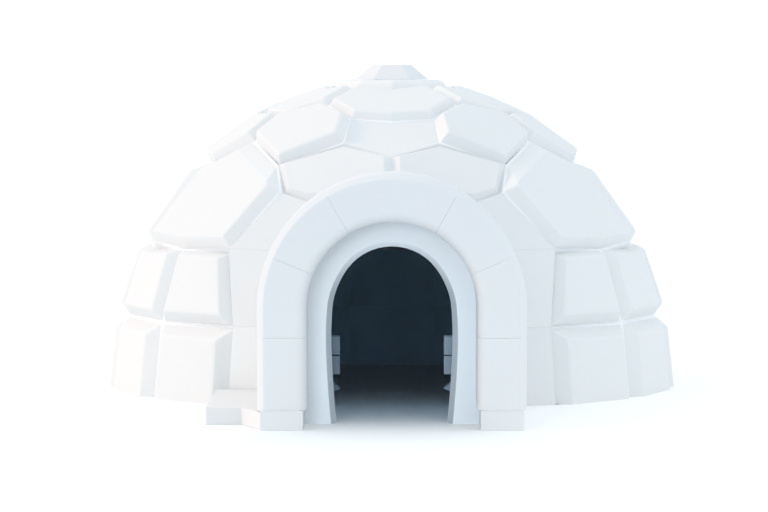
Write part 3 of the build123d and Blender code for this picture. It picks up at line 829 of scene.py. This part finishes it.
def door_frame_rings(carving, arch):
    """Rings of the door frame, from the ground on the left, over the top, to that on the right.

    The opening's arc has its own centre, so a point of the section is carried round a centre
    between that one and the arch's, by its share of the way across the band. Below the spring the
    opening comes in along a circle that leaves the spring straight down: its offset is the circle's
    radius less the root of that radius squared less the drop squared. The shoulders have sagged
    inwards by a bell curve: the sag times e to the power of minus the square of the distance from
    the middle of the shoulder over the curve's width.
    """
    low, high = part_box("frame_crown")
    jamb_low, jamb_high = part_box("frame_jamb_right")
    foot_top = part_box("arch_foot_right")[1][2]
    outer, spring = high[0], low[2]
    crown = np.concatenate([points for points, _ in solids_of("frame_crown")])
    radius = np.hypot(crown[:, 0], crown[:, 2] - spring)
    opening = radius.min()
    splay = radius[crown[:, 1] < low[1] + SAME_PLACE].min() - opening
    lean = opening - jamb_low[0]
    bend = (spring ** 2 + lean ** 2) / (2 * lean)
    quarter = opening * pi / 2
    leg = np.linspace(quarter, quarter + spring, LEG_RINGS + 1)[1:]
    distance = np.concatenate([-leg[::-1], np.linspace(-quarter, quarter, ARC_RINGS), leg])
    angles, drops = arch_path(distance, opening)
    section = frame_section(opening, outer, low[1] - arch["front"], high[1] - arch["front"],
                            splay, carving.frame_edge)
    across = section[:, 0]
    offset = bend - np.sqrt(bend ** 2 - drops ** 2)
    offset += carving.shoulder_sag * np.exp(-((np.abs(distance) - SAG_MIDDLE) / SAG_WIDTH) ** 2)
    inside = across < opening + splay + 2 * carving.frame_edge
    feet = (drops > spring - foot_top)[:, None] * (across > outer - SAME_PLACE)
    sections = np.repeat(section[None], len(distance), axis=0)
    sections[..., 0] += feet * (jamb_high[0] - outer) - offset[:, None] * inside
    rings = sweep(sections, angles, drops, spring, arch["front"])
    outward = np.clip((across - opening - splay) / (outer - opening - splay), 0, 1)
    rings[..., 2] += (arch["spring"] - spring) * outward * (1 - drops / spring)[:, None]
    return rings


def arch_sizes():
    """Sizes of the arch, read off its nodes, with its joints as distances along its middle line."""
    leg_low, leg_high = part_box("arch_leg_right")
    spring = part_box("passage_walls_front")[1][2]
    outer, inner = leg_high[0], leg_low[0]
    leg = np.concatenate([points for points, _ in solids_of("arch_leg_right")])
    face = leg[leg[:, 1] < leg_low[1] + SAME_PLACE]
    middle = (inner + outer) / 2
    return {
        "inner": inner, "outer": outer, "spring": spring, "middle": middle,
        "front": leg_low[1], "depth": leg_high[1] - leg_low[1],
        "chamfer": outer - face[:, 0].max(), "mouth": face[:, 0].min() - inner,
        "keystone": middle * np.arcsin(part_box("arch_keystone")[1][0] / outer),
        "haunch": middle * np.arccos((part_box("arch_haunch_right")[0][2] - spring) / inner),
        "shoulder": middle * pi / 2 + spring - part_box("arch_shoulder_right")[0][2],
        "leg": middle * pi / 2 + spring - leg_low[2],
    }


def sun_light(name, strength, colour, turn, rise, spread, pieces):
    """Soft parallel light from a direction, on the given pieces only."""
    light = bpy.data.lights.new(name, "SUN")
    light.energy = strength
    light.angle = spread
    light.color = colour
    lamp = bpy.data.objects.new(name, light)
    bpy.context.scene.collection.objects.link(lamp)
    towards = Vector((np.sin(turn) * np.cos(rise), -np.cos(turn) * np.cos(rise), np.sin(rise)))
    lamp.location = Vector(dome_centre()) + 20 * towards  # clear of the dome
    lamp.rotation_mode = "QUATERNION"
    lamp.rotation_quaternion = towards.to_track_quat("Z", "Y")
    lit = bpy.data.collections.new(f"lit_by_{name}")
    for piece in pieces:
        lit.objects.link(piece)
    lamp.light_linking.receiver_collection = lit


# ---- operators
class IGLOO_OT_dome_blocks(bpy.types.Operator):
    """Carve the raised blocks of the dome"""

    bl_idname = "igloo.dome_blocks"
    bl_label = "Dome blocks"

    def execute(self, context):
        carving, colours = context.scene.igloo_carving, context.scene.igloo_colours
        finishes = [carved_snow("wind_packed_snow", colours), ice_lining(colours),
                    carved_snow("cut_side_painted_light", colours), carved_snow("joint_painted_light", colours)]
        centre = dome_centre()
        blocks = [(node, block_outlines(*solid, centre))
                  for node in RAISED_NODES for solid in solids_of(node)]
        flush = np.concatenate([points for node in FLUSH_NODES for points, _ in solids_of(node)])
        joints = meet_neighbours([outlines[2] for _, outlines in blocks], flush, centre)
        for node in RAISED_NODES:
            edge = carving.crown_edge if node == "crown_block" else carving.block_edge
            shells = [raised_block(outlines, joint, centre, carving, edge)
                      for (owner, outlines), joint in zip(blocks, joints) if owner == node]
            piece = mesh_object(f"carved_{node}", shells, finishes)
            place_piece(piece, [node])
        return {"FINISHED"}


class IGLOO_OT_flush_blocks(bpy.types.Operator):
    """Soften the cap, the lintels and the flush blocks round the entrance"""

    bl_idname = "igloo.flush_blocks"
    bl_label = "Flush blocks"

    def execute(self, context):
        carving, materials = context.scene.igloo_carving, bpy.data.materials
        centre = dome_centre()
        flush = np.concatenate([points for node in FLUSH_NODES for points, _ in solids_of(node)])
        for node in FLUSH_NODES:
            snow = "dressed_snow" if node == "crown_cap" else "wind_packed_snow"
            soften(f"soft_{node}", node, carving.flush_edge,
                   [materials[snow], materials["ice_lining"]], faces_room,
                   lambda points: level_corners(points, flush, centre))
        return {"FINISHED"}


class IGLOO_OT_arch(bpy.types.Operator):
    """Dress the stones of the arch and its two feet"""

    bl_idname = "igloo.arch"
    bl_label = "Arch stones"

    def execute(self, context):
        carving, colours = context.scene.igloo_carving, context.scene.igloo_colours
        finish = carved_snow("dressed_snow", colours)
        arch = arch_sizes()
        stones = {"arch_keystone": (-arch["keystone"], arch["keystone"], 1)}
        order = ("keystone", "haunch", "shoulder", "leg")
        for word, side in (("right", 1), ("left", -1)):
            for upper, lower in zip(order, order[1:]):
                stones[f"arch_{lower}_{word}"] = (arch[upper], arch[lower], side)
        for node, (start, end, side) in stones.items():
            shell = arch_stone(start, end, arch, carving, side)
            place_piece(mesh_object(f"dressed_{node}", [shell], [finish]), [node])
        for node in ("arch_foot_right", "arch_foot_left"):
            soften(f"dressed_{node}", node, carving.flush_edge, [finish])
        return {"FINISHED"}


class IGLOO_OT_door_frame(bpy.types.Operator):
    """Rub the recessed door frame smooth, in one piece"""

    bl_idname = "igloo.door_frame"
    bl_label = "Door frame"

    def execute(self, context):
        carving, colours = context.scene.igloo_carving, context.scene.igloo_colours
        rings = door_frame_rings(carving, arch_sizes())
        points, faces, _ = closed_shell(rings, rings[[0, -1]].mean(axis=1))
        slots = [np.zeros(len(face), int) for face in faces]
        # the strips of the splay wear the painted shade
        splayed = np.isin(np.arange(rings.shape[1]), SPLAY_STRIPS)
        slots[1] = np.tile(splayed, len(rings) - 1).astype(int)
        piece = mesh_object("rubbed_door_frame", [(points, faces, slots)],
                            [carved_snow("rubbed_snow", colours), splay_painted_shade(colours)])
        place_piece(piece, ["frame_crown", "frame_jamb_left", "frame_jamb_right"])
        return {"FINISHED"}


class IGLOO_OT_passage(bpy.types.Operator):
    """Soften the blocks of the vaulted passage"""

    bl_idname = "igloo.passage"
    bl_label = "Passage"

    def execute(self, context):
        edge = context.scene.igloo_carving.flush_edge
        finishes = [bpy.data.materials["dressed_snow"], bpy.data.materials["ice_lining"]]
        for node in PASSAGE_NODES:
            soften(f"soft_{node}", node, edge, finishes, faces_passage)
        return {"FINISHED"}


class IGLOO_OT_footing(bpy.types.Operator):
    """Soften the low footing beside the arch"""

    bl_idname = "igloo.footing"
    bl_label = "Footing"

    def execute(self, context):
        edge = context.scene.igloo_carving.flush_edge
        soften("soft_footing_left", "footing_left", edge,
               [bpy.data.materials["dressed_snow"]])
        return {"FINISHED"}


class IGLOO_OT_jamb_blocks(bpy.types.Operator):
    """Soften the small ice blocks beside the passage"""

    bl_idname = "igloo.jamb_blocks"
    bl_label = "Jamb blocks"

    def execute(self, context):
        carving, colours = context.scene.igloo_carving, context.scene.igloo_colours
        # the blocks left of the passage wear a darker copy, painted shade for the side away from
        # the key light
        finishes = {"right": packed_ice("packed_ice", colours.jamb),
                    "left": packed_ice("packed_ice_painted_shade", colours.jamb_painted_shade)}
        for node in JAMB_NODES:
            finish = finishes[node.split("_")[-1]]
            soften(f"soft_{node}", node, carving.flush_edge, [finish])
        return {"FINISHED"}


class IGLOO_OT_studio(bpy.types.Operator):
    """Set up the pale floor, the white surround, the soft lights and the camera"""

    bl_idname = "igloo.studio"
    bl_label = "Studio"

    def execute(self, context):
        scene, studio = context.scene, context.scene.igloo_studio
        scene.view_settings.view_transform = "Standard"
        axis = dome_centre()

        half = studio.floor_size / 2
        corners = np.array([[-half, -half, 0], [half, -half, 0], [half, half, 0], [-half, half, 0]])
        material, tree, shader, place = new_finish("pale_floor")
        # soft clouding 2 m wide, so faint that the floor stays plain
        clouds = add_node(tree, "ShaderNodeTexNoise", {"Vector": place, "Scale": 1 / 2})
        gloss = add_node(tree, "ShaderNodeMapRange", {
            "Value": clouds.outputs["Fac"], "To Min": 0.9, "To Max": 1.0})
        tree.links.new(gloss.outputs["Result"], shader.inputs["Roughness"])
        shader.inputs["Base Color"].default_value = (*studio.floor_colour, 1)
        shader.inputs["Specular IOR Level"].default_value = 0.0
        shell = (corners, [np.array([[0, 1, 2, 3]])], [np.zeros(1, int)])
        floor = mesh_object("studio_floor", [shell], [material])
        floor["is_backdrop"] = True

        world = bpy.data.worlds.new("white_surround")
        world.use_nodes = True
        sky = world.node_tree.nodes["Background"]
        sky.inputs["Color"].default_value = (*studio.sky_colour, 1)
        sky.inputs["Strength"].default_value = studio.sky_strength
        scene.world = world

        spread = studio.key_spread
        sun_light("key_light", studio.key_strength, studio.key_colour, studio.key_azimuth,
                  studio.key_elevation, spread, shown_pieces())
        sun_light("fill_light", studio.fill_strength, studio.sky_colour, FILL_AZIMUTH,
                  FILL_ELEVATION, spread, [bpy.data.objects["rubbed_door_frame"]])
        sun_light("side_light", studio.side_strength, linear("FFF6EE"), SIDE_AZIMUTH,
                  studio.key_elevation, spread, [bpy.data.objects["soft_entrance_panels_low"]])

        camera = bpy.data.objects.new("camera", bpy.data.cameras.new("camera"))
        scene.collection.objects.link(camera)
        camera.data.sensor_width = 36
        camera.data.lens = studio.camera_lens
        camera.location = Vector(axis) + Vector((0, -studio.camera_distance, studio.camera_height))
        aim = Vector((studio.aim_side, axis[1], studio.aim_height))
        camera.rotation_mode = "QUATERNION"
        camera.rotation_quaternion = (aim - camera.location).to_track_quat("-Z", "Y")
        camera.data.clip_end = 1000
        scene.camera = camera
        return {"FINISHED"}


class IGLOO_PT_panel(bpy.types.Panel):
    """Lists the settings of the igloo and the operators that make its pieces"""

    bl_idname = "IGLOO_PT_panel"
    bl_label = "Igloo"
    bl_space_type = "VIEW_3D"
    bl_region_type = "UI"
    bl_category = "Igloo"

    def draw(self, context):
        layout = self.layout
        for title, group in (("Carving", context.scene.igloo_carving),
                             ("Colours", context.scene.igloo_colours),
                             ("Studio", context.scene.igloo_studio)):
            box = layout.box()
            box.label(text=title)
            for name in group.bl_rna.properties.keys():
                if name not in ("rna_type", "name"):
                    box.prop(group, name)
        for operator in OPERATORS:
            layout.operator(operator.bl_idname)


GROUPS = {"igloo_carving": IglooCarving, "igloo_colours": IglooColours, "igloo_studio": IglooStudio}
OPERATORS = (IGLOO_OT_dome_blocks, IGLOO_OT_arch, IGLOO_OT_flush_blocks, IGLOO_OT_door_frame,
             IGLOO_OT_passage, IGLOO_OT_footing, IGLOO_OT_jamb_blocks, IGLOO_OT_studio)


def register():
    for name, group in GROUPS.items():
        bpy.utils.register_class(group)
        setattr(bpy.types.Scene, name, bpy.props.PointerProperty(type=group))
    for kind in (*OPERATORS, IGLOO_PT_panel):
        bpy.utils.register_class(kind)


def unregister():
    for kind in (IGLOO_PT_panel, *OPERATORS[::-1]):
        bpy.utils.unregister_class(kind)
    for name, group in GROUPS.items():
        delattr(bpy.types.Scene, name)
        bpy.utils.unregister_class(group)


def main():
    """Makes the igloo and its studio. The first two operators make finishes that others wear."""
    register()
    bpy.ops.igloo.dome_blocks()
    bpy.ops.igloo.arch()
    bpy.ops.igloo.flush_blocks()
    bpy.ops.igloo.door_frame()
    bpy.ops.igloo.passage()
    bpy.ops.igloo.footing()
    bpy.ops.igloo.jamb_blocks()
    bpy.ops.igloo.studio()


if __name__ == "__main__":
    main()
